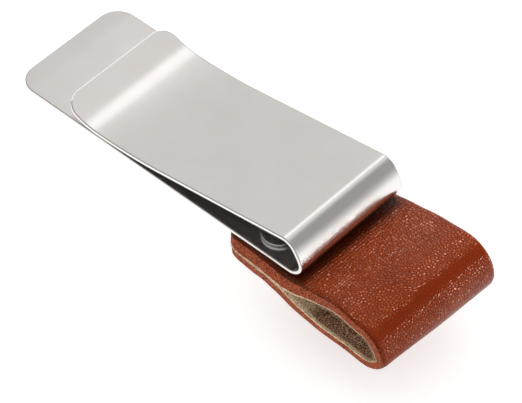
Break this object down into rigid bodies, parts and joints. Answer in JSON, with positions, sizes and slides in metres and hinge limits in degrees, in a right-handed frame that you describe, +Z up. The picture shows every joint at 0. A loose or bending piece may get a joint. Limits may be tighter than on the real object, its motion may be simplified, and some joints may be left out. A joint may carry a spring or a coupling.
{
  "type": "pen loop clip",
  "caption": "Folded spring-steel clip that grips a notebook cover, with a folded leather loop riveted under its closed end to hold a pen.",
  "frame": {"origin": "middle of the grip line, where the spring arm presses on the upper face of the lower leaf", "axes": "+X along the clip from the open jaw towards the pen loop, +Y across the clip, +Z up from the lower leaf towards the spring arm"},
  "size_m": [0.0697, 0.022, 0.0127],
  "materials": {
    "spring_steel": "fine satin-brushed stainless steel with bright cut edges",
    "leather": "reddish-brown pebbled grain, semi-gloss, with raw tan edges and a suede inside",
    "rivet": "polished nickel-plated steel"
  },
  "bodies": {
    "clip_body": {"clip_leaf": "spring_steel", "clip_heel": "spring_steel", "clip_bend_lower": "spring_steel", "tab_upper": "leather", "tab_lower": "leather", "neck_upper": "leather", "neck_lower": "leather", "near_rivet_stud": "rivet", "near_rivet_cap": "rivet", "far_rivet_stud": "rivet", "far_rivet_cap": "rivet"},
    "spring_arm": {"clip_bend_upper": "spring_steel", "clip_arm": "spring_steel", "clip_lip": "spring_steel"},
    "pen_loop": {"loop_upper_wall": "leather", "loop_fold": "leather", "loop_lower_wall": "leather"}
  },
  "joints": [
    {"name": "clip_open", "type": "hinge", "parent": "clip_body", "child": "spring_arm", "pos_m": [0.03755, 0, 0.00245], "axis": [0, 1, 0], "range_deg": [0, 8], "stiffness_Nm_per_rad": 2, "springref_deg": -2.86},
    {"name": "loop_flex", "type": "hinge", "parent": "clip_body", "child": "pen_loop", "pos_m": [0.0355, -0.00003, -0.0033], "axis": [0.0349, 0.9994, 0], "range_deg": [-10, 30], "stiffness_Nm_per_rad": 0.3, "deforming": ["neck_upper", "neck_lower"]}
  ]
}
